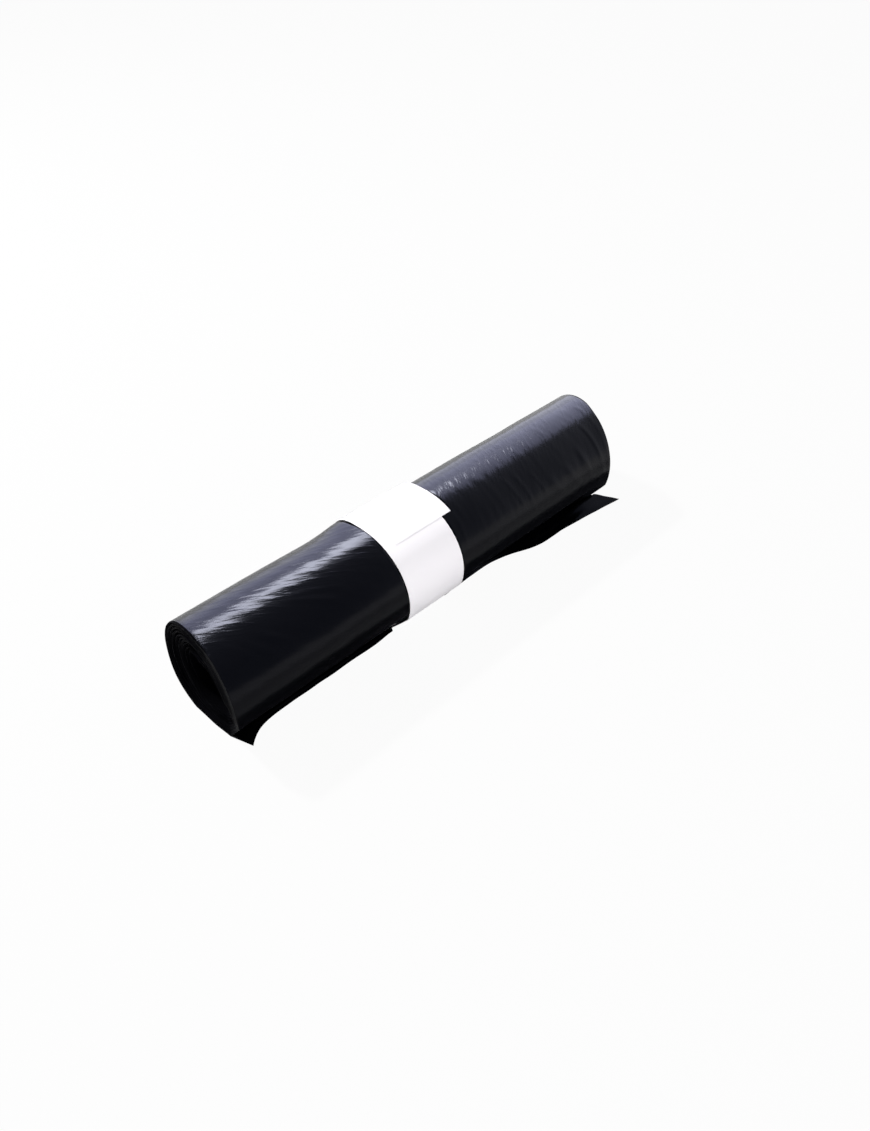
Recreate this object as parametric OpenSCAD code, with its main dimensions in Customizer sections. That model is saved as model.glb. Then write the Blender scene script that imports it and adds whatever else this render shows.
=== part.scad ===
// A coreless roll of black bin bags held by a white paper band.
// The roll lies along X on its flat spot, with the free end of the film on the floor
// towards -Y. The origin is under the middle of the roll, on the floor.

/* [Roll] */
// Radius of the wound roll
roll_r = 26.5; // [20:0.5:40]
// Width of the folded film, from one end of the roll to the other
film_w = 235; // [180:1:320]
// How far the soft roll has settled onto its flat spot
flat_depth = 2.65; // [1:0.05:4]
// How far the lower front is drawn in, above the free end
front_tuck = 4.5; // [1:0.1:6]
// How far it is drawn in at the far end, where the tuck fades
far_tuck = 1.1; // [0:0.1:3]
// Place along the roll where the tuck starts to fade
tuck_fade_x = 95; // [60:1:100]
// Bundles of turns that show in the ends
turns = 11; // [6:1:14]

/* [Ends] */
// Slant of the near end, in mm along the roll for each mm across it
near_slant = 0.10; // [0:0.01:0.2]
// Slant of the far end, in mm along the roll for each mm across it
far_slant = 0.30; // [0:0.01:0.4]
// How far the near end's foot lies back from the rim
near_foot = 2; // [0:0.1:4]
// Height over which the near end slopes out from its foot
foot_height = 24; // [15:0.5:26]
// How far the last turn runs out at the far end, where it leaves the roll
far_skew = 8; // [0:0.1:9]
// How far the inner turns lie back from the rim at each end
dish = 3.2; // [0:0.1:6]
// How far the middle of a turn's edge stands out of the groove between turns
edge_ridge = 0.6; // [0.2:0.05:1.2]
// How far the edges of the turns wander along the roll
edge_wander = 0.5; // [0:0.05:1]

/* [Hollow] */
// Half the length of the flattened hollow, across the roll
hollow_long = 13.5; // [8:0.1:15]
// Half the width of the flattened hollow
hollow_short = 6; // [3:0.1:8]
// Tilt of the hollow's long way, down towards the front
hollow_tilt = 46; // [20:1:70]
// Height of the hollow's middle over the floor
hollow_height = 20.5; // [17:0.1:26]

/* [Free end] */
// Thickness of the folded film in the free end
tail_t = 0.8; // [0.5:0.05:1.2]
// How far the free end's edge lies back from the roll's front, along most of the roll
edge_back = 12.3; // [8.5:0.1:13.5]
// Extra reach of the edge at the near corner
near_flare = 7; // [0:0.1:9]
// Length of roll over which the near corner flares
near_flare_w = 22; // [10:0.5:40]
// How far the edge draws back past the band
far_dip = 1.4; // [0:0.1:2]
// Extra reach of the edge along the far part
far_flare = 8.5; // [0:0.1:9]
// How far the far corner lies back from the roll's front
corner_back = 0.2; // [0:0.1:1]
// Length over which the edge runs out to the far corner
far_corner_w = 42; // [20:1:55]
// Place along the roll where the far part starts to flare
far_flare_x = 34; // [20:1:60]
// Length over which the far part flares
far_flare_w = 36; // [15:1:50]
// Lift of the far corner off the floor
corner_lift = 0.4; // [0:0.1:3]
// Shift of the free end's near corner along the roll, from the rim
near_corner_in = 3.3; // [0:0.1:8]
// Shift of the free end's far corner along the roll, past the rim
far_corner_out = 3.3; // [0:0.1:4]

/* [Paper band] */
// Width of the paper strip
band_w = 33; // [20:1:60]
// Place of the strip's middle along the roll
band_x = -15.2; // [-60:0.1:60]
// Thickness of the paper
paper_t = 0.25; // [0.15:0.05:0.5]
// Glue line between the two ends where they overlap
glue_gap = 0.05; // [0.03:0.01:0.1]
// Gap between the paper and the film
paper_gap = 0.15; // [0.1:0.05:0.4]
// How far the band draws the roll in
cinch = 0.9; // [0.8:0.05:2]
// Angle of the outer end above the front
overlap_at = 61; // [30:1:80]
// Length of the overlap round the roll, in degrees
overlap = 80; // [40:1:120]
// Sideways shift of the outer end against the inner end
overlap_shift = 5.7; // [0:0.1:8]

/* [Hidden] */

// Points round one turn, and along the free end from its root to its edge
seg = 48;
tail_seg = 4;
// Greatest length of roll between two sections
section_step = 11;
// Points of the paper strip for each turn
band_seg = 90;
// Length of roll over which the band's pull fades out
cinch_fade = 2.4;
// Room between the band's edges and the fade
cinch_room = 0.4;

centre_z = roll_r - flat_depth;
tail_reach = roll_r - edge_back;
far_corner = edge_back + far_dip - far_flare - corner_back;
// The origin is midway between the furthest points of the slanted rims
mid_x = roll_r * (far_slant - near_slant) / 2;
root_angle = -65;
root_reach = centre_z / tan(-root_angle);
tuck_angle = -31;
tuck_fade_w = 13;
// Length past the band over which the free end's edge draws back
far_dip_w = 20;
// Share of a turn over which the last turn runs out
skew_turn = 0.11;
last = turns * seg;
film_edge = film_w / 2;

function share(t) = min(1, max(0, t));
function smooth(t) = let (u = share(t)) u * u * (3 - 2 * u);
function polar(r, a) = [r * cos(a), centre_z + r * sin(a)];

// How far the band draws the film in at x
function pull(x) =
    cinch * (1 - smooth((abs(x - band_x - overlap_shift / 2) - band_w / 2 - overlap_shift / 2
                         - cinch_room) / cinch_fade));

// How far the lower front is drawn in at x
function tuck(x) = front_tuck + (far_tuck - front_tuck) * smooth((x - tuck_fade_x) / tuck_fade_w);

// Radius of the roll at an angle from the front: a circle, flat below and drawn in at the lower front
function roll_radius(a, x) =
    let (down = -sin(a), tucked = cos(a - tuck_angle))
    min(roll_r,
        down > 0 ? centre_z / down : roll_r,
        tucked > 0 ? (roll_r - tuck(x)) / tucked : roll_r) - pull(x);

// The hollow's edge at the same angle, as a point across the roll
function hollow_point(a) =
    let (u = hollow_long * cos(a + hollow_tilt), v = hollow_short * sin(a + hollow_tilt))
    [u * cos(hollow_tilt) + v * sin(hollow_tilt),
     hollow_height - u * sin(hollow_tilt) + v * cos(hollow_tilt)];

// Share of the way from the rim to the hollow, s turns in from the free end
outer_share = tail_t / roll_r;
function inward(s) =
    s < 1 ? s * outer_share : outer_share + (s - 1) * (1 - outer_share) / (turns - 1);
function winding_angle(j) = root_angle - (last - j) * 360 / seg;

// A point of the spiral between turns, across the roll
function turn_point(j, x) =
    let (a = winding_angle(j), t = inward((last - j) / seg))
    (1 - t) * polar(roll_radius(a, x), a) + t * hollow_point(a);

// Place along the roll of a turn's edge, at a point f forward and z up
function near_x(f, z) =
    -film_edge - near_slant * f + (near_foot + near_slant * f) * (1 - smooth(z / foot_height));
function far_x(f, j) =
    film_edge - far_slant * f + far_skew * smooth(1 - (last - j) / seg / skew_turn);
function end_x(side, f, z, j) =
    let (t = inward((last - j) / seg))
    (side < 0 ? near_x(f, z) : far_x(f, j))
    - side * (dish * t + edge_wander * t * (1 + sin(winding_angle(j) * 0.8)));
function tail_x(side, u) =
    end_x(side, root_reach, 0, last) + u * (side < 0 ? near_corner_in : far_corner_out);

// Reach of the free end's edge, and its lift off the floor
function edge_reach(x) =
    tail_reach
    + near_flare * pow(share((tail_x(-1, 1) + near_flare_w - x) / near_flare_w), 3)
    - far_dip * smooth((x - band_x - band_w / 2) / far_dip_w)
    + far_flare * smooth((x - far_flare_x) / far_flare_w)
    + far_corner * share((x - tail_x(1, 1) + far_corner_w) / far_corner_w);
function edge_lift(x) = corner_lift * pow(smooth((x - far_flare_x) / (film_edge - far_flare_x)), 3);

// A point of the free end, where u runs from its root to its edge
function tail_point(u, top, x) =
    let (root = turn_point(last, x)) [
        root[0] + u * (edge_reach(x) - root_reach),
        root[1] + edge_lift(x) * u * u + (top ? tail_t : 0)];

// The loop round one section: the last turn from its start to the root, then out along the
// underside of the free end and back along its top
loop_n = seg + 1 + 2 * tail_seg;
function loop_point(k, x) =
    k <= seg ? turn_point(last - seg + k, x)
    : k <= seg + tail_seg ? tail_point((k - seg) / tail_seg, false, x)
    : tail_point((loop_n - k) / tail_seg, true, x);

// An end of the roll: the spiral's points, the ridges between them, then the free end
ridge_n = last - seg + 1;
end_n = last + 1 + ridge_n + 2 * tail_seg;
function on_end(side, j) =
    let (p = turn_point(j, side * film_edge)) [end_x(side, p[0], p[1], j), p[0], p[1]];
function end_points(side) = concat(
    [for (j = [0 : last]) on_end(side, j)],
    [for (j = [0 : ridge_n - 1])
        (on_end(side, j) + on_end(side, j + seg)) / 2 + [side * edge_ridge, 0, 0]],
    [for (k = [seg + 1 : loop_n - 1])
        let (u = k <= seg + tail_seg ? (k - seg) / tail_seg : (loop_n - k) / tail_seg,
             x = tail_x(side, u),
             p = loop_point(k, x))
        [x, p[0], p[1]]]);

// Sections between the ends, closer together where the band draws the film in
inner_reach = film_edge - roll_r * max(near_slant, far_slant) - 1;
band_marks = [
    for (side = [-1, 1])
        let (edge = band_w / 2 + overlap_shift / 2 + cinch_room)
        each [for (d = [0, cinch_fade / 2, cinch_fade])
            band_x + overlap_shift / 2 + side * (edge + (side < 0 ? cinch_fade - d : d))]];
function spaced(a, b) =
    let (n = ceil((b - a) / section_step)) [for (i = [0 : n - 1]) a + (b - a) * i / n];
stations = concat(
    spaced(-inner_reach, band_marks[0]),
    band_marks,
    [for (x = spaced(band_marks[5], inner_reach)) if (x > band_marks[5]) x],
    [inner_reach]);
station_n = len(stations);

roll_points = concat(
    end_points(-1),
    end_points(1),
    [for (x = stations) for (k = [0 : loop_n - 1]) let (p = loop_point(k, x)) [x, p[0], p[1]]]);

// Numbers of the points in roll_points
function end_at(e, j) = e * end_n + j;
function ridge_at(e, j) = e * end_n + last + 1 + j;
function rim_at(e, k) = e * end_n + (k <= seg ? last - seg + k : last + ridge_n + k - seg);
function loop_at(i, k) =
    i == 0 ? rim_at(0, k % loop_n)
    : i == station_n + 1 ? rim_at(1, k % loop_n)
    : 2 * end_n + (i - 1) * loop_n + k % loop_n;

// Faces of one end, turned over for the far end
function turned(e, face) = e == 0 ? face : [for (i = [len(face) - 1 : -1 : 0]) face[i]];
function end_faces(e) = concat(
    [for (j = [0 : ridge_n - 2]) each [
        turned(e, [end_at(e, j), end_at(e, j + 1), ridge_at(e, j)]),
        turned(e, [end_at(e, j + 1), ridge_at(e, j + 1), ridge_at(e, j)]),
        turned(e, [ridge_at(e, j), ridge_at(e, j + 1), end_at(e, j + seg)]),
        turned(e, [ridge_at(e, j + 1), end_at(e, j + seg + 1), end_at(e, j + seg)])]],
    [turned(e, [rim_at(e, 0), rim_at(e, loop_n - 1), ridge_at(e, ridge_n - 1)]),
     turned(e, [ridge_at(e, ridge_n - 1), rim_at(e, loop_n - 1), rim_at(e, seg + 1)]),
     turned(e, [ridge_at(e, ridge_n - 1), rim_at(e, seg + 1), rim_at(e, seg)])],
    [for (k = [1 : tail_seg - 1]) each [
        turned(e, [rim_at(e, seg + k), rim_at(e, loop_n - k), rim_at(e, loop_n - k - 1)]),
        turned(e, [rim_at(e, seg + k), rim_at(e, loop_n - k - 1), rim_at(e, seg + k + 1)])]]);

skin_faces = [for (i = [0 : station_n]) for (k = [0 : loop_n - 1]) each [
    [loop_at(i, k), loop_at(i, k + 1), loop_at(i + 1, k)],
    [loop_at(i + 1, k), loop_at(i, k + 1), loop_at(i + 1, k + 1)]]];

// The hollow's wall, with the step at the film's inner end
hollow_loop = concat([for (j = [0 : seg]) [0, j]], [[1, 0]]);
function hollow_at(e, k) =
    let (h = hollow_loop[k % len(hollow_loop)]) h[0] == 0 ? end_at(e, h[1]) : ridge_at(e, h[1]);
hollow_faces = [for (k = [0 : len(hollow_loop) - 1]) each [
    [hollow_at(0, k), hollow_at(1, k), hollow_at(0, k + 1)],
    [hollow_at(0, k + 1), hollow_at(1, k), hollow_at(1, k + 1)]]];

// From the roll's own coordinates, along, forward and up, to X, Y and Z
function placed(p) = [p[0] - mid_x, -p[1], p[2]];

module bag_roll() {
    color("#17181c")
        polyhedron(
            points = [for (p = roll_points) placed(p)],
            faces = concat(end_faces(0), end_faces(1), skin_faces, hollow_faces));
}

// The paper runs round the drawn-in roll and the edge of the free end, with a soft bend's room
// there, and straight from that edge to the roll's front
bend_room = 0.6;
paper_r = roll_r - cinch;
paper_floor = centre_z - cinch;
tail_edge_angle = -atan2(paper_floor, tail_reach + bend_room);
tail_edge_r = norm([paper_floor, tail_reach + bend_room]);
tangent_angle = tail_edge_angle + acos(min(1, paper_r / tail_edge_r));
function paper_radius(a) =
    let (down = -sin(a), floor_r = down > 0 ? paper_floor / down : 2 * roll_r)
    cos(a) > 0 && down > 0 && sin(a - tangent_angle) < 0
        ? min(floor_r, paper_r / cos(a - tangent_angle))
        : min(floor_r, paper_r);

band_turn = 360 + overlap;
band_n = ceil(band_turn / 360 * band_seg);
// The strip's section at its i-th point: inside and outside, at the left and the right edge
function band_section(i) =
    let (
        wound = band_turn * i / band_n,
        a = overlap_at + overlap - wound,
        r = paper_radius(a) + paper_gap + (paper_t + glue_gap) * wound / 360,
        left = band_x - band_w / 2 + overlap_shift * smooth(wound / band_turn))
    [for (c = [[0, 0], [1, 0], [1, 1], [0, 1]])
        let (p = polar(r + c[0] * paper_t, a)) [left + c[1] * band_w, p[0], p[1]]];

module paper_band() {
    sides = [for (i = [0 : band_n - 1]) for (c = [0 : 3]) let (n = (c + 1) % 4) each [
        [4 * i + c, 4 * i + n, 4 * i + 4 + c],
        [4 * i + n, 4 * i + 4 + n, 4 * i + 4 + c]]];
    color("white")
        polyhedron(
            points = [for (i = [0 : band_n]) for (p = band_section(i)) placed(p)],
            faces = concat([[3, 2, 1, 0]], sides, [[for (c = [0 : 3]) 4 * band_n + c]]));
}

bag_roll();
paper_band();
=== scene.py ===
from functools import partial
from math import cos, exp, hypot, pi, radians, sin, tan

import bmesh
import bpy
from mathutils import Matrix, Quaternion, Vector, noise


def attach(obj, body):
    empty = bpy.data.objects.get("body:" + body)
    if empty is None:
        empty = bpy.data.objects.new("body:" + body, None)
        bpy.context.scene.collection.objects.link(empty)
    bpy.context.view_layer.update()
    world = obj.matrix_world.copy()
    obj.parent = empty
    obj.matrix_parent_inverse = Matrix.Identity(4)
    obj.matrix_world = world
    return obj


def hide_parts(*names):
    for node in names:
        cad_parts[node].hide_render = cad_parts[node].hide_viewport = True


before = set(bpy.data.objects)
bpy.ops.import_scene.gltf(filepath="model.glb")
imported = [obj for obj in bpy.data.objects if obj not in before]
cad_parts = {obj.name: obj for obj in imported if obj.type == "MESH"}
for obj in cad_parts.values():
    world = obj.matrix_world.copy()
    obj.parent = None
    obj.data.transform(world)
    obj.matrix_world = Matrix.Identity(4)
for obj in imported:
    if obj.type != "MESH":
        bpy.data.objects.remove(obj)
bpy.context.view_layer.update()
scene = bpy.context.scene
scene.view_settings.view_transform = "Standard"

# The camera
# It looks down on the near end and the front of the roll, from a forearm's length away. Its focal
# length and the photograph's long side are in pixels.
CAMERA_PLACE = Vector((-0.23969, -0.23412, 0.29392))
CAMERA_BACK = Vector((-0.5558, -0.5240, 0.6454))
CAMERA_ROLL = radians(1.1)
PHOTO_LONG_SIDE = 1131
PHOTO_FOCAL_LENGTH = 952
SENSOR_WIDTH = 36
NEAREST_SEEN = 0.01

camera_data = bpy.data.cameras.new("camera")
camera_data.sensor_width = SENSOR_WIDTH
camera_data.lens = PHOTO_FOCAL_LENGTH / PHOTO_LONG_SIDE * SENSOR_WIDTH
camera_data.clip_start = NEAREST_SEEN
camera = bpy.data.objects.new("camera", camera_data)
scene.collection.objects.link(camera)
camera.location = CAMERA_PLACE
camera.rotation_mode = "QUATERNION"
camera.rotation_quaternion = (-CAMERA_BACK).to_track_quat("-Z", "Y") @ Quaternion((0, 0, 1), CAMERA_ROLL)
scene.camera = camera


# The studio
# A white table under a large softbox behind the roll, in a room that is dim on the camera's side.
# A low softbox and a small bright lamp add to the film's sheen, and a key lamp behind the near side
# throws the shadow forward.
class NodeSheet:
    """A node tree with short calls to add and join its nodes."""

    def __init__(self, tree):
        self.tree = tree

    def add(self, kind, inputs=None, **settings):
        node = self.tree.nodes.new(kind)
        for name, value in settings.items():
            setattr(node, name, value)
        for socket, value in (inputs or {}).items():
            if isinstance(value, bpy.types.NodeSocket):
                self.tree.links.new(value, node.inputs[socket])
            else:
                node.inputs[socket].default_value = value
        return node

    def math(self, operation, *values):
        return self.add("ShaderNodeMath", dict(enumerate(values)), operation=operation).outputs[0]

    def blend(self, share, first, second):
        """The first colour where share is 0 and the second where it is 1."""
        return self.add("ShaderNodeMix", {0: share, 6: first, 7: second}, data_type="RGBA").outputs[2]

    def ramp(self, value, low, high, out_low=0.0, out_high=1.0):
        """A soft step from out_low, where value is low, to out_high, where it is high."""
        node = self.add(
            "ShaderNodeMapRange",
            {0: value, 1: low, 2: high, 3: out_low, 4: out_high},
            interpolation_type="SMOOTHSTEP",
        )
        return node.outputs[0]


def new_material(name):
    material = bpy.data.materials.new(name)
    material.use_nodes = True
    material.node_tree.nodes.clear()
    return material, NodeSheet(material.node_tree)


FLOOR_SIZE = 8.0
FLOOR_DROP = 0.00005
FLOOR_COLOUR = (0.72, 0.72, 0.72, 1)
WHITE = (1, 1, 1, 1)
SHADOW_AREA = (0.20, 0.13)
SHADOW_EDGE = (1.0, 2.0)
SHADOW_LIGHTENING = 0.96

floor_mesh = bmesh.new()
bmesh.ops.create_grid(floor_mesh, x_segments=1, y_segments=1, size=FLOOR_SIZE / 2)
floor_data = bpy.data.meshes.new("floor")
floor_mesh.to_mesh(floor_data)
floor_mesh.free()
floor = bpy.data.objects.new("floor", floor_data)
floor.location.z = -FLOOR_DROP
scene.collection.objects.link(floor)

# The camera sees the table almost white, with a faint shadow. The film mirrors it white too, but
# for the part close to the roll, where it mirrors the table as it is lit
floor_material, sheet = new_material("white_table")
place = sheet.add("ShaderNodeTexCoord").outputs["Object"]
place = sheet.add("ShaderNodeSeparateXYZ", {0: place}).outputs
across = sheet.math("POWER", sheet.math("DIVIDE", place["X"], SHADOW_AREA[0]), 2.0)
outward = sheet.math("POWER", sheet.math("DIVIDE", place["Y"], SHADOW_AREA[1]), 2.0)
far = sheet.ramp(sheet.math("SQRT", sheet.math("ADD", across, outward)), *SHADOW_EDGE)
ray = sheet.add("ShaderNodeLightPath").outputs
mirrored = sheet.math("MAXIMUM", ray["Is Glossy Ray"], ray["Is Transmission Ray"])
mirrored_lift = sheet.math("MULTIPLY", mirrored, far)
seen_lift = sheet.math("MULTIPLY", ray["Is Camera Ray"], SHADOW_LIGHTENING)
lift = sheet.math("MAXIMUM", mirrored_lift, seen_lift)
lit = sheet.add("ShaderNodeBsdfDiffuse", {"Color": FLOOR_COLOUR})
white = sheet.add("ShaderNodeEmission", {"Color": WHITE, "Strength": 1.0})
mixed = sheet.add("ShaderNodeMixShader", {0: lift, 1: lit.outputs[0], 2: white.outputs[0]})
sheet.add("ShaderNodeOutputMaterial", {"Surface": mixed.outputs[0]})
floor_data.materials.append(floor_material)

ROOM_COLOUR = (0.31, 0.34, 0.43, 1)
FAR_SIDE_COLOUR = (0.88, 0.91, 1.0, 1)
FAR_SIDE_FROM = (0.45, 0.80)
HORIZON_BELOW = (0.12, 0.04)
DIFFUSE_SHARE = 0.08

# The film mirrors the room, but the camera sees only white, and little of the room's light falls
# on the object
world = bpy.data.worlds.new("studio")
world.use_nodes = True
world.node_tree.nodes.clear()
scene.world = world
sheet = NodeSheet(world.node_tree)
direction = sheet.add("ShaderNodeTexCoord").outputs["Generated"]
direction = sheet.add("ShaderNodeSeparateXYZ", {0: direction}).outputs
low = sheet.ramp(direction["Z"], *HORIZON_BELOW)
far_side = sheet.ramp(direction["X"], *FAR_SIDE_FROM)
room = sheet.blend(low, sheet.blend(far_side, ROOM_COLOUR, FAR_SIDE_COLOUR), WHITE)
ray = sheet.add("ShaderNodeLightPath").outputs
seen = sheet.math("MAXIMUM", ray["Is Camera Ray"], ray["Is Transmission Ray"])
strength = sheet.ramp(ray["Is Diffuse Ray"], 0.0, 1.0, 1.0, DIFFUSE_SHARE)
colour = sheet.blend(seen, room, WHITE)
background = sheet.add("ShaderNodeBackground", {"Color": colour, "Strength": strength})
sheet.add("ShaderNodeOutputWorld", {"Surface": background.outputs[0]})


def area_lamp(name, place, sideways, size, radiance, tint, sheen_only=False):
    """A rectangular lamp that faces the roll, its width along sideways, for sheen or for light."""
    width, height = size
    data = bpy.data.lights.new(name, "AREA")
    data.shape = "RECTANGLE"
    data.size = width
    data.size_y = height
    data.energy = radiance * pi * width * height
    data.color = tint
    lamp = bpy.data.objects.new(name, data)
    backward = Vector(place).normalized()
    upward = backward.cross(Vector(sideways)).normalized()
    lamp.location = place
    lamp.rotation_mode = "QUATERNION"
    lamp.rotation_quaternion = Matrix((upward.cross(backward), upward, backward)).transposed().to_quaternion()
    lamp.visible_camera = False
    lamp.visible_diffuse = not sheen_only
    lamp.visible_glossy = sheen_only
    scene.collection.objects.link(lamp)
    return lamp


SOFTBOX_PLACE = (0.78, 0.92, 0.90)
SOFTBOX_SIDEWAYS = (0.76, -0.65, 0.0)
SOFTBOX_SIZE = (1.9, 1.04)
WHITE_LIGHT = (1.0, 1.0, 1.0)
area_lamp(
    "softbox",
    place=SOFTBOX_PLACE,
    sideways=SOFTBOX_SIDEWAYS,
    size=SOFTBOX_SIZE,
    radiance=4.3,
    tint=(0.69, 0.71, 1.0),
    sheen_only=True,
)
area_lamp(
    "low_softbox",
    place=(0.90, 1.30, 0.27),
    sideways=SOFTBOX_SIDEWAYS,
    size=(2.2, 0.50),
    radiance=2.5,
    tint=(0.78, 0.80, 1.0),
    sheen_only=True,
)
area_lamp(
    "streak",
    place=(0.42, 0.60, 0.94),
    sideways=(0.94, -0.31, -0.12),
    size=(0.50, 0.36),
    radiance=29.0,
    tint=(0.92, 0.94, 1.0),
    sheen_only=True,
)
area_lamp(
    "soft_light",
    place=SOFTBOX_PLACE,
    sideways=SOFTBOX_SIDEWAYS,
    size=SOFTBOX_SIZE,
    radiance=1.0,
    tint=WHITE_LIGHT,
)
area_lamp(
    "key",
    place=(-0.30, 0.78, 0.88),
    sideways=(1.0, 0.0, 0.0),
    size=(0.10, 0.06),
    radiance=850.0,
    tint=WHITE_LIGHT,
)


# The roll of bags
# One long web of thin black polythene, folded lengthwise in six layers and wound without a core.
# The last turn leaves the roll underneath, and its free end lies on the table in front.

# Sizes are in millimetres: along the roll from the near end to the far end, forward of its middle,
# and up from the table. Angles run from the front over the top to the back
MM = 0.001
ROLL_RADIUS = 26.5
FLAT_DEPTH = 2.65
CENTRE_UP = ROLL_RADIUS - FLAT_DEPTH
FILM_EDGE = 117.5
NEAR_SLANT = 0.10
FAR_SLANT = 0.30
MIDDLE_ALONG = ROLL_RADIUS * (FAR_SLANT - NEAR_SLANT) / 2
ROOT_DEGREES = -65
LAST_DEGREES = ROOT_DEGREES + 360
ROOT_ANGLE = radians(ROOT_DEGREES)
ROOT_REACH = CENTRE_UP / tan(-ROOT_ANGLE)


def placed(along, forward, up):
    """A place in the part's own frame, in metres."""
    return Vector((along - MIDDLE_ALONG, -forward, up)) * MM


def within(share):
    """The share, kept between 0 and 1."""
    return min(1, max(0, share))


def smooth(share):
    """A soft step from 0 to 1."""
    share = within(share)
    return share * share * (3 - 2 * share)


def uneven(x, y, z):
    """Smooth irregular values between -1 and 1, the same in every run."""
    return noise.noise(Vector((x, y, z)))


# The paper band draws the film in, so its place is needed here. Its ends overlap from OVERLAP_AT
# degrees on, and the strip is wound on a slant
BAND_WIDTH = 33
BAND_ALONG = -15.2
BAND_NEAR = BAND_ALONG - BAND_WIDTH / 2
BAND_FAR = BAND_ALONG + BAND_WIDTH / 2
BAND_SHIFT = 5.7
SLANT_DELAY = 1.3
OVERLAP_AT = 61
OVERLAP = 80
BAND_TURN = 360 + OVERLAP
CINCH = 0.9
CINCH_ROOM = 0.08
CINCH_FADE = 0.6


def band_side(wound):
    """Sideways shift of the paper, a number of degrees round from its inner end."""
    return BAND_SHIFT * smooth(wound / BAND_TURN) ** SLANT_DELAY


def pull(angle, along):
    """How far the band draws the film in, right up to the paper's edges."""
    wound = (OVERLAP_AT + OVERLAP - angle / pi * 180) % 360
    outer_wound = wound + 360 if wound < OVERLAP else wound
    left = BAND_NEAR + band_side(wound)
    right = BAND_FAR + band_side(outer_wound)
    outside = max(left - along, along - right) - CINCH_ROOM
    return CINCH * (1 - smooth(outside / CINCH_FADE))


# The front is pressed flat below, less so near the far end. Each of its waves has a height, a length
# and a seed
TUCK_ANGLE = radians(-37)
FRONT_TUCK = 3.2
FAR_TUCK = 1.1
TUCK_FADE_AT = 95
TUCK_FADE_WIDTH = 13
LONG_TUCK_WAVE = (0.3, 7, 2.2)
SHORT_TUCK_WAVE = (0.12, 2.3, 4.1)


def tuck(along):
    """How far the lower front is pressed in."""
    fade = smooth((along - TUCK_FADE_AT) / TUCK_FADE_WIDTH)
    waves = 0
    for height, length, seed in (LONG_TUCK_WAVE, SHORT_TUCK_WAVE):
        waves += height * uneven(along / length, seed, 0)
    return (FRONT_TUCK + waves) * (1 - fade) + FAR_TUCK * fade


def wound_radius(angle, along):
    """From the roll's middle to its outer film, without the wrinkles."""
    down = -sin(angle)
    tucked = cos(angle - TUCK_ANGLE)
    radius = ROLL_RADIUS
    if down > 0:
        radius = min(radius, CENTRE_UP / down)
    if tucked > 0:
        radius = min(radius, (ROLL_RADIUS - tuck(along)) / tucked)
    return radius - pull(angle, along)


TURNS = 11
TAIL_THICKNESS = 0.8
HOLLOW_LONG = 13.5
HOLLOW_SHORT = 6
HOLLOW_TILT = radians(46)
HOLLOW_HEIGHT = 20.5


def inward(turns_in):
    """Share of the way from the outer film to the hollow, a number of turns in from the free end."""
    outer_share = TAIL_THICKNESS / ROLL_RADIUS
    if turns_in < 1:
        return turns_in * outer_share
    return outer_share + (turns_in - 1) * (1 - outer_share) / (TURNS - 1)


def hollow_point(angle):
    """A point of the tilted oval round the hollow, forward and up."""
    u = HOLLOW_LONG * cos(angle + HOLLOW_TILT)
    v = HOLLOW_SHORT * sin(angle + HOLLOW_TILT)
    forward = u * cos(HOLLOW_TILT) + v * sin(HOLLOW_TILT)
    up = HOLLOW_HEIGHT - u * sin(HOLLOW_TILT) + v * cos(HOLLOW_TILT)
    return forward, up


# Each crease is a low ridge in the outer film, from one place to another, given along the roll in
# millimetres and round it in degrees above the front, with its width and its height
CREASES = (
    (-80, 69, -64, 49, 2.0, 0.22),
    (-78, 72, -58, 56, 1.6, 0.12),
    (-118, 92, -104, 78, 1.8, 0.09),
    (-104, 88, -88, 74, 1.6, 0.09),
    (-96, 94, -82, 76, 1.3, 0.07),
    (-86, 90, -70, 74, 1.7, 0.10),
    (-72, 92, -60, 78, 1.4, 0.08),
    (-62, 94, -48, 80, 1.6, 0.09),
    (-52, 92, -42, 80, 1.3, 0.07),
    (-112, 66, -104, 40, 2.6, 0.16),
    (-106, 62, -97, 38, 2.0, 0.14),
    (-99, 60, -90, 42, 2.4, 0.18),
    (20, 92, 18, 74, 1.5, 0.11),
    (30, 91, 28, 76, 1.3, 0.09),
    (40, 93, 38, 77, 1.5, 0.11),
    (51, 90, 49, 75, 1.3, 0.09),
    (60, 92, 58, 72, 1.5, 0.11),
    (69, 91, 67, 76, 1.3, 0.09),
    (80, 93, 79, 78, 1.2, 0.14),
    (41, 60, 45, 26, 0.9, 0.12),
    (48, 56, 52, 14, 0.9, 0.13),
    (57, 50, 61, 24, 0.9, 0.09),
    (66, 34, 72, 14, 2.6, 0.14),
    (78, 36, 84, 12, 3.0, 0.22),
    (90, 44, 94, 10, 2.6, 0.22),
    (101, 66, 104, 4, 1.6, 0.20),
    (110, 90, 108, 8, 1.0, 0.14),
)
CREASE_REACH = 2
CREASE_SIDE = 3


def crease_height(along, arc, crease):
    """Height of one crease at a place on the film laid flat, which tapers off at its ends."""
    x0, degrees0, x1, degrees1, width, ridge = crease
    y0 = radians(degrees0) * ROLL_RADIUS
    y1 = radians(degrees1) * ROLL_RADIUS
    length = hypot(x1 - x0, y1 - y0)
    run = ((along - x0) * (x1 - x0) + (arc - y0) * (y1 - y0)) / length
    side = ((along - x0) * (y1 - y0) - (arc - y0) * (x1 - x0)) / length
    reach = CREASE_REACH * width
    if not -reach < run < length + reach or abs(side) >= CREASE_SIDE * width:
        return 0
    taper = smooth((run + reach) / (2 * reach)) * smooth((length + reach - run) / (2 * reach))
    return ridge * taper * exp(-((side / width) ** 2) * 2)


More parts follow.
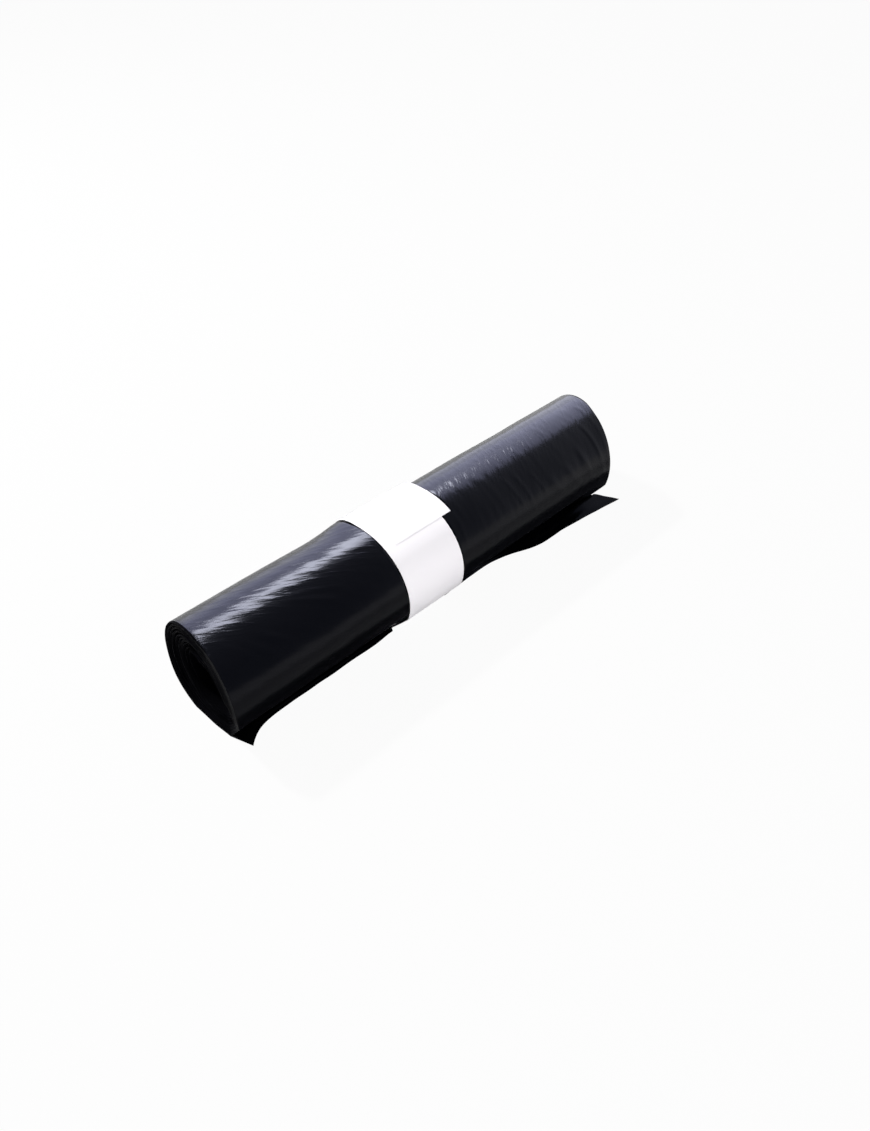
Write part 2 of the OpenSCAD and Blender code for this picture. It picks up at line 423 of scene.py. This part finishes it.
# Three kinds of wrinkles, each with its height, its length, its width and a seed: slanting ones on
# the near side, ones round the roll on the far side, and broad dents everywhere
NEAR_WRINKLES = (0.07, 12, 3.4, 3.1)
FAR_WRINKLES = (0.06, 2.6, 13, 7.7)
BROAD_DENTS = (0.25, 24, 17, 1.3)
NEAR_SIDE_AT = -25
NEAR_SIDE_FADE = 20
NEAR_SIDE_CALM = 0.7
SLANT_COS = 0.866
SLANT_SIN = 0.5

# Beside the band's near edge the film stands up in a low lip behind the top
LIP = 1.6
LIP_REACH = 10
LIP_ANGLE = radians(124)
LIP_SPREAD = radians(17)


def wrinkles(kind, first, second):
    """Height of one kind of wrinkles at a place on the film laid flat."""
    height, length, width, seed = kind
    return height * uneven(first / length, second / width, seed)


def film_relief(along, angle):
    """Height of the outer film above the smooth roll."""
    arc = angle * ROLL_RADIUS
    near_side = smooth((NEAR_SIDE_AT - along) / NEAR_SIDE_FADE)
    lengthwise = along * SLANT_COS - arc * SLANT_SIN
    crosswise = along * SLANT_SIN + arc * SLANT_COS
    height = wrinkles(NEAR_WRINKLES, lengthwise, crosswise) * near_side
    height += wrinkles(FAR_WRINKLES, along, arc) * (1 - NEAR_SIDE_CALM * near_side)
    height += wrinkles(BROAD_DENTS, along, arc)
    beside_band = BAND_NEAR - along
    height += LIP * exp(-((beside_band / LIP_REACH) ** 2) - ((angle - LIP_ANGLE) / LIP_SPREAD) ** 2)
    for crease in CREASES:
        height += crease_height(along, arc, crease)
    return height


# The relief fades from the outer film inwards, under the paper and towards the table
RELIEF_FADE = 4
SMOOTH_BELOW = 0.35
SMOOTH_FADE = 0.3


def turn_point(angle, turns_in, along):
    """A point across the roll, forward and up, a number of turns in from the free end."""
    share = inward(turns_in)
    radius = wound_radius(angle, along)
    free = 1 - smooth(pull(angle, along) / CINCH)
    floor_share = smooth((-sin(angle) - SMOOTH_BELOW) / SMOOTH_FADE)
    radius += film_relief(along, angle) * (1 - share) ** RELIEF_FADE * free * (1 - floor_share)
    forward, up = hollow_point(angle)
    return (
        (1 - share) * radius * cos(angle) + share * forward,
        (1 - share) * (CENTRE_UP + radius * sin(angle)) + share * up,
    )


# Both ends are slanted and dished. The near one's slant fades towards its foot, which is set in
DISH = 3.2
NEAR_FOOT = 2
FOOT_HEIGHT = 24
EDGE_WANDER = 0.5
WANDER_PACE = 0.8


def end_along(side, forward, up, turns_in):
    """Place along the roll of the film's edge, at a point forward and up, turns in from the free end."""
    share = inward(turns_in)
    if side < 0:
        foot = 1 - smooth(up / FOOT_HEIGHT)
        edge = -FILM_EDGE - NEAR_SLANT * forward + (NEAR_FOOT + NEAR_SLANT * forward) * foot
    else:
        edge = FILM_EDGE - FAR_SLANT * forward
    angle = ROOT_ANGLE - turns_in * 2 * pi
    return edge - side * (DISH * share + EDGE_WANDER * share * (1 + sin(angle * WANDER_PACE)))


# The free end lies on the table. Its edge reaches farther forward at both ends than in the middle,
# and is held back under the paper. Its far end leaves the roll above the table and slopes down
EDGE_BACK = 12.3
NEAR_FLARE = 7
NEAR_FLARE_WIDTH = 22
NEAR_FLARE_CURVE = 3
NEAR_CORNER_IN = 3.3
FAR_DIP = 1.4
FAR_DIP_WIDTH = 20
FAR_FLARE = 8.5
FAR_FLARE_AT = 34
FAR_FLARE_WIDTH = 36
FAR_CORNER_WIDTH = 42
CORNER_BACK = 0.2
CORNER_LIFT = 0.4
CORNER_CURL = 3
FAR_RISE = 3.8
FAR_RISE_SHARE = 0.46
FAR_RISE_CURVE = 2.4
FAR_RISE_AT = 82
FAR_RISE_WIDTH = 20
FAR_ROOT_END = 111.0
FAR_FOLD_END = 111.9
FAR_CORNER_END = 122.4
EDGE_WAVE = 0.25
EDGE_WAVE_LENGTH = 9
EDGE_WAVE_SEED = 5.5
HELD_BACK = 2.6
HELD_FROM = -29.8
HELD_TO = 3.2
HELD_FADE = 1.2


def tail_end(side, share):
    """Place along the roll of an end of the tail, where share runs from its root to its edge."""
    if side < 0:
        return end_along(side, ROOT_REACH, 0, 0) + share * NEAR_CORNER_IN
    if share < FAR_RISE_SHARE:
        return FAR_ROOT_END + (FAR_FOLD_END - FAR_ROOT_END) * share / FAR_RISE_SHARE
    out = (share - FAR_RISE_SHARE) / (1 - FAR_RISE_SHARE)
    return FAR_FOLD_END + (FAR_CORNER_END - FAR_FOLD_END) * out


def far_rise(along, share):
    """Height of the far end of the tail over the table, from its root to its edge."""
    if share < FAR_RISE_SHARE:
        rise = (share / FAR_RISE_SHARE) ** FAR_RISE_CURVE
    else:
        rise = (1 - share) / (1 - FAR_RISE_SHARE)
    return FAR_RISE * rise * smooth((along - FAR_RISE_AT) / FAR_RISE_WIDTH)


def edge_reach(along):
    """How far in front of the roll's middle the free end's edge lies."""
    near = within((tail_end(-1, 1) + NEAR_FLARE_WIDTH - along) / NEAR_FLARE_WIDTH) ** NEAR_FLARE_CURVE
    dip = smooth((along - BAND_ALONG - BAND_WIDTH / 2) / FAR_DIP_WIDTH)
    far = smooth((along - FAR_FLARE_AT) / FAR_FLARE_WIDTH)
    corner = within((along - tail_end(1, 1) + FAR_CORNER_WIDTH) / FAR_CORNER_WIDTH)
    corner_reach = EDGE_BACK + FAR_DIP - FAR_FLARE - CORNER_BACK
    held = smooth((along - HELD_FROM) / HELD_FADE) * smooth((HELD_TO - along) / HELD_FADE)
    flares = NEAR_FLARE * near - FAR_DIP * dip + FAR_FLARE * far + corner_reach * corner - HELD_BACK * held
    wave = EDGE_WAVE * uneven(along / EDGE_WAVE_LENGTH, 0, EDGE_WAVE_SEED)
    return ROLL_RADIUS - EDGE_BACK + flares + wave


def edge_lift(along):
    """How far the free end's edge curls up towards the far corner."""
    return CORNER_LIFT * smooth((along - FAR_FLARE_AT) / (FILM_EDGE - FAR_FLARE_AT)) ** CORNER_CURL


# The mesh has stations along the roll, closest together at the paper's edges, and steps round it,
# closest together where the camera sees them
FRONT_SHIFT = 1
BAND_EDGES = (BAND_NEAR, BAND_FAR + FRONT_SHIFT, BAND_FAR + BAND_SHIFT)
CLOSE_WIDTH = 1.6
WIDE_SPACING = 1.05
SPACING_DROP = 0.83
SEEN_FROM = -14
SEEN_TO = 150
SEEN_STEP = 0.9
HIDDEN_STEP = 3.8


def spacing_along(along):
    close = sum(exp(-(((along - edge) / CLOSE_WIDTH) ** 2)) for edge in BAND_EDGES)
    return WIDE_SPACING - SPACING_DROP * within(close)


def spacing_round(degrees):
    return SEEN_STEP if SEEN_FROM < degrees < SEEN_TO else HIDDEN_STEP


LONGEST_LAST = 1.5


def spaced(start, end, spacing):
    """Places from start to end, where spacing(place) is the way to the next one, but for the last."""
    places = [start]
    while places[-1] + LONGEST_LAST * spacing(places[-1]) < end:
        places.append(places[-1] + spacing(places[-1]))
    return places + [end]


STATION_PLACES = spaced(-FILM_EDGE, FILM_EDGE, spacing_along)
STEP_DEGREES = spaced(ROOT_DEGREES, LAST_DEGREES, spacing_round)
LONG_STEPS = len(STATION_PLACES) - 1
ROUND_STEPS = len(STEP_DEGREES) - 1
TAIL_STEPS = 22
TURN_RINGS = 5
END_RINGS = (TURNS - 1) * TURN_RINGS
HOLLOW_STEPS = 12
END_REACH = 60


def end_side(place):
    return -1 if place < 0 else 1


def moved_with_end(place, end):
    """A station's place along the roll, moved with its end the more, the closer it is to it."""
    near_end = max(0, 1 - (FILM_EDGE - abs(place)) / END_REACH)
    return place + (end - end_side(place) * FILM_EDGE) * near_end


def skin_point(step, station):
    """A point of the last turn, from where it starts over the free end to where it leaves the roll."""
    angle = radians(STEP_DEGREES[step])
    turns_in = (LAST_DEGREES - STEP_DEGREES[step]) / 360
    place = STATION_PLACES[station]
    side = end_side(place)
    forward, up = turn_point(angle, turns_in, side * FILM_EDGE)
    end = end_along(side, forward, up, turns_in)
    if station in (0, LONG_STEPS):
        return end, forward, up
    along = moved_with_end(place, end)
    forward, up = turn_point(angle, turns_in, along)
    return along, forward, up


# The free end is thinner where its folded layers end, each with its share of the thickness, its
# place between root and edge, and the width of its step. It lies higher where the paper is under it
EDGE_THICKNESS = 0.3
LAYER_ENDS = ((0.65, 0.72, 0.2), (0.35, 0.95, 0.08))
PAPER_RISE = 0.83
PAPER_RISE_FADE = 9
ROOT_FADE = 4


def band_rise(along):
    """Height of the tail over the table, where it lies on the paper and beside it."""
    outside = abs(along - BAND_ALONG - BAND_SHIFT / 2) - BAND_WIDTH / 2 - BAND_SHIFT / 2
    return PAPER_RISE * (1 - smooth(outside / PAPER_RISE_FADE))


def tail_height(share):
    """Thickness of the free end, which thins in two steps."""
    steps = sum(part * smooth((place - share) / width) for part, place, width in LAYER_ENDS)
    return EDGE_THICKNESS + (TAIL_THICKNESS - EDGE_THICKNESS) * steps


def tail_point(step, station):
    """A point of the free end: its underside from the root to the edge, then back along its top."""
    if step <= TAIL_STEPS:
        share = step / TAIL_STEPS
        root = skin_point(ROUND_STEPS, station)
        thickness = 0.0
    else:
        share = (2 * TAIL_STEPS + 1 - step) / TAIL_STEPS
        root = skin_point(0, station)
        thickness = tail_height(share)
    if share == 0:
        return root
    base = skin_point(ROUND_STEPS, station)
    place = STATION_PLACES[station]
    along = moved_with_end(place, tail_end(end_side(place), share))
    forward = base[1] + share * (edge_reach(along) - base[1])
    spread = min(1, share * ROOT_FADE)
    rise = base[2] * (1 - spread) + band_rise(along) * spread
    up = rise + edge_lift(along) * share * share + far_rise(along, share) + thickness
    return along, forward, up


# On the ends each turn is a rounded ridge, of uneven height and nearly flat at the front
EDGE_RIDGE = 0.6
RIDGE_CURVE = 0.7
RIDGE_MIDDLE = 0.5
RIDGE_CHANGE = 0.8
TURN_SEED = 3.7
END_SEED = 2.0
FRONT_CALM = 0.9
FRONT_GROWTH = 2


def end_point(side, step, ring):
    """A point of an end, where the rings follow the film round and in to the hollow."""
    if ring == 0:
        return skin_point(step, 0 if side < 0 else LONG_STEPS)
    angle = radians(STEP_DEGREES[step])
    turns_in = ring / TURN_RINGS + (LAST_DEGREES - STEP_DEGREES[step]) / 360
    forward, up = turn_point(angle, turns_in, side * FILM_EDGE)
    turn_number = ring // TURN_RINGS
    phase = ring % TURN_RINGS / TURN_RINGS
    change = RIDGE_MIDDLE + uneven(turn_number * TURN_SEED, angle * WANDER_PACE, side * END_SEED)
    crest = EDGE_RIDGE * sin(pi * phase) ** RIDGE_CURVE
    crest *= 1 + change * RIDGE_CHANGE
    crest *= 1 - FRONT_CALM * smooth(FRONT_GROWTH * cos(angle))
    return end_along(side, forward, up, turns_in) + side * crest, forward, up


def hollow_wall_point(step, station):
    """A point of the hollow's wall, from the near end to the far end."""
    if step <= ROUND_STEPS:
        near = end_point(-1, step, END_RINGS)
        far_end = end_point(1, step, END_RINGS)
    else:
        ring = END_RINGS - TURN_RINGS + step - ROUND_STEPS
        near = end_point(-1, 0, ring)
        far_end = end_point(1, 0, ring)
    share = station / HOLLOW_STEPS
    return tuple(n + (f - n) * share for n, f in zip(near, far_end))


# The film's place on the web laid flat, along it and round it in metres, goes with each point of
# the outside, for the film's fine strokes
UNROLLED = "unrolled"


def unrolled_skin(step, station):
    return Vector((STATION_PLACES[station], radians(STEP_DEGREES[step]) * ROLL_RADIUS, 0)) * MM


def unrolled_tail(step, station):
    along, forward, up = tail_point(step, station)
    if step <= TAIL_STEPS:
        arc = radians(LAST_DEGREES) * ROLL_RADIUS + forward
    else:
        arc = radians(ROOT_DEGREES) * ROLL_RADIUS - forward
    return Vector((along, arc, 0)) * MM


def add_sheet(mesh, columns, rows, point, unrolled=None):
    """A grid whose vertices go where point(column, row) says, in millimetres."""
    layer = mesh.verts.layers.float_vector.get(UNROLLED)
    made = bmesh.ops.create_grid(mesh, x_segments=columns, y_segments=rows, size=1)
    for vertex in made["verts"]:
        column = round((vertex.co.x + 1) / 2 * columns)
        row = round((vertex.co.y + 1) / 2 * rows)
        vertex.co = placed(*point(column, row))
        if unrolled:
            vertex[layer] = unrolled(column, row)
    return made["verts"]


SHARP_ANGLE = radians(50)


def finish_piece(mesh, name, materials, replaced):
    """Make a closed mesh a piece of the object, in place of one of the solids."""
    bmesh.ops.recalc_face_normals(mesh, faces=mesh.faces)
    for face in mesh.faces:
        face.smooth = True
    data = bpy.data.meshes.new(name)
    mesh.to_mesh(data)
    mesh.free()
    for material in materials:
        data.materials.append(material)
    data.set_sharp_from_angle(angle=SHARP_ANGLE)
    piece = bpy.data.objects.new(name, data)
    scene.collection.objects.link(piece)
    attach(piece, "root")
    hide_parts(replaced)
    return piece


SAME_PLACE = 0.000002

# The outside has the first material, and the ends and the hollow have the second
film = bmesh.new()
film.verts.layers.float_vector.new(UNROLLED)
add_sheet(film, ROUND_STEPS, LONG_STEPS, skin_point, unrolled_skin)
add_sheet(film, 2 * TAIL_STEPS + 1, LONG_STEPS, tail_point, unrolled_tail)
inner = []
for side in (-1, 1):
    inner += add_sheet(film, ROUND_STEPS, END_RINGS, partial(end_point, side))
inner += add_sheet(film, ROUND_STEPS + TURN_RINGS, HOLLOW_STEPS, hollow_wall_point)
for vertex in inner:
    for face in vertex.link_faces:
        face.material_index = 1
bmesh.ops.remove_doubles(film, verts=film.verts, dist=SAME_PLACE)

# Narrow gaps are left on the ends, where the ridges of one turn go over into the next turn's
bmesh.ops.holes_fill(film, edges=[edge for edge in film.edges if edge.is_boundary], sides=0)

# The outer film is glossy, with fine strokes that run one way on the near side and another on the
# far side, and are faint below the upper front
FILM_COLOUR = (0.003, 0.003, 0.004, 1)
FILM_SHEEN = (0.85, 0.86, 1.0, 1)
NEAR_STROKES = ((0.012, 0.0016, 1.0), radians(-27))
FAR_STROKES = ((0.007, 0.0016, 1.0), radians(62))
STROKE_SHARPNESS = (0.40, 0.80)
STROKES_CHANGE = (-0.03, 0.01)
UPPER_FRONT = (0.024, 0.035)
FAINT_STROKES = 0.12

film_material, sheet = new_material("black_polythene")
flat = sheet.add("ShaderNodeAttribute", attribute_name=UNROLLED).outputs["Vector"]
flat_place = sheet.add("ShaderNodeSeparateXYZ", {0: flat}).outputs
strokes = []
for size, turn in (NEAR_STROKES, FAR_STROKES):
    turned = sheet.add(
        "ShaderNodeMapping",
        {"Vector": flat, "Rotation": (0, 0, turn), "Scale": size},
        vector_type="TEXTURE",
    )
    grain = sheet.add(
        "ShaderNodeTexNoise",
        {"Vector": turned.outputs[0], "Scale": 1.0, "Detail": 2.5, "Roughness": 0.5},
    )
    strokes.append(sheet.ramp(grain.outputs[0], *STROKE_SHARPNESS))
far_share = sheet.ramp(flat_place["X"], *STROKES_CHANGE)
stroke = sheet.add("ShaderNodeMix", {0: far_share, 2: strokes[0], 3: strokes[1]}, data_type="FLOAT")
strength = sheet.ramp(flat_place["Y"], *UPPER_FRONT, FAINT_STROKES, 1.0)
stroke = sheet.math("MULTIPLY", stroke.outputs[0], strength)
bump = sheet.add("ShaderNodeBump", {"Strength": 0.32, "Distance": 0.0002, "Height": stroke})
film_shader = sheet.add(
    "ShaderNodeBsdfPrincipled",
    {
        "Base Color": FILM_COLOUR,
        "Roughness": 0.195,
        "Specular IOR Level": 0.15,
        "Specular Tint": FILM_SHEEN,
        "Normal": bump.outputs[0],
    },
)
sheet.add("ShaderNodeOutputMaterial", {"Surface": film_shader.outputs[0]})

# The cut edges of the film on the ends are dull
edge_material, sheet = new_material("film_edges")
edge_shader = sheet.add(
    "ShaderNodeBsdfPrincipled",
    {
        "Base Color": FILM_COLOUR,
        "Roughness": 0.40,
        "Specular IOR Level": 0.004,
        "Specular Tint": FILM_SHEEN,
    },
)
sheet.add("ShaderNodeOutputMaterial", {"Surface": edge_shader.outputs[0]})

finish_piece(film, "bag_film", (film_material, edge_material), "bag_roll")


# The band
# A strip of plain white paper round the middle of the roll, drawn tight and glued to itself where
# its ends overlap on the top.
PAPER_THICKNESS = 0.14
GLUE_GAP = 0.05
PAPER_GAP = 0.15
PAPER_RADIUS = ROLL_RADIUS - CINCH
PAPER_FLOOR = CENTRE_UP - CINCH
BAND_STEPS = 260
BAND_COLUMNS = 16

# It is flat where it spans the lower front, and stands off a little behind the top
BAND_TUCK = 1.6
BAND_TUCK_ANGLE = radians(-41)
PUFF = 2.2
PUFF_ANGLE = radians(122)
PUFF_SPREAD = radians(20)


def paper_radius(angle):
    """From the roll's middle to the film that the paper lies on."""
    down = -sin(angle)
    tucked = cos(angle - BAND_TUCK_ANGLE)
    radius = PAPER_RADIUS
    if tucked > 0:
        radius = min(radius, (PAPER_RADIUS - BAND_TUCK) / tucked)
    if down > 0:
        radius = min(radius, PAPER_FLOOR / down)
    return radius


def paper_point(outer, column, row):
    """A point of the strip, wound from its inner end, on its inner face or its outer one."""
    wound = BAND_TURN * row / BAND_STEPS
    angle = radians(OVERLAP_AT + OVERLAP - wound)
    radius = paper_radius(angle) + PAPER_GAP
    radius += (PAPER_THICKNESS + GLUE_GAP) * wound / 360
    radius += outer * PAPER_THICKNESS
    off_puff = min(abs(angle - PUFF_ANGLE), abs(angle + 2 * pi - PUFF_ANGLE))
    radius += PUFF * exp(-((off_puff / PUFF_SPREAD) ** 2))
    along = BAND_NEAR + band_side(wound) + BAND_WIDTH * column / BAND_COLUMNS
    return along, radius * cos(angle), CENTRE_UP + radius * sin(angle)


paper = bmesh.new()
for outer in (0, 1):
    add_sheet(paper, BAND_COLUMNS, BAND_STEPS, partial(paper_point, outer))
bmesh.ops.bridge_loops(paper, edges=[edge for edge in paper.edges if edge.is_boundary])

PAPER_COLOUR = (0.86, 0.85, 0.87, 1)
FIBRE_SCALE = 1800.0

paper_material, sheet = new_material("white_paper")
place = sheet.add("ShaderNodeTexCoord").outputs["Object"]
fibre = sheet.add("ShaderNodeTexNoise", {"Vector": place, "Scale": FIBRE_SCALE, "Detail": 4.0})
bump = sheet.add("ShaderNodeBump", {"Strength": 0.15, "Distance": 0.0001, "Height": fibre.outputs[0]})
paper_shader = sheet.add(
    "ShaderNodeBsdfPrincipled",
    {
        "Base Color": PAPER_COLOUR,
        "Roughness": 0.6,
        "Specular IOR Level": 0.3,
        "Normal": bump.outputs[0],
    },
)
sheet.add("ShaderNodeOutputMaterial", {"Surface": paper_shader.outputs[0]})
paper_strip = finish_piece(paper, "paper_strip", (paper_material,), "paper_band")

# A large lamp in front lights the paper alone
paper_only = bpy.data.collections.new("paper_only")
paper_only.objects.link(paper_strip)
fill = area_lamp(
    "fill",
    place=(-0.45, -1.20, 0.75),
    sideways=(1.0, 0.0, 0.0),
    size=(1.2, 1.2),
    radiance=5.4,
    tint=(1.0, 0.98, 0.985),
)
fill.light_linking.receiver_collection = paper_only
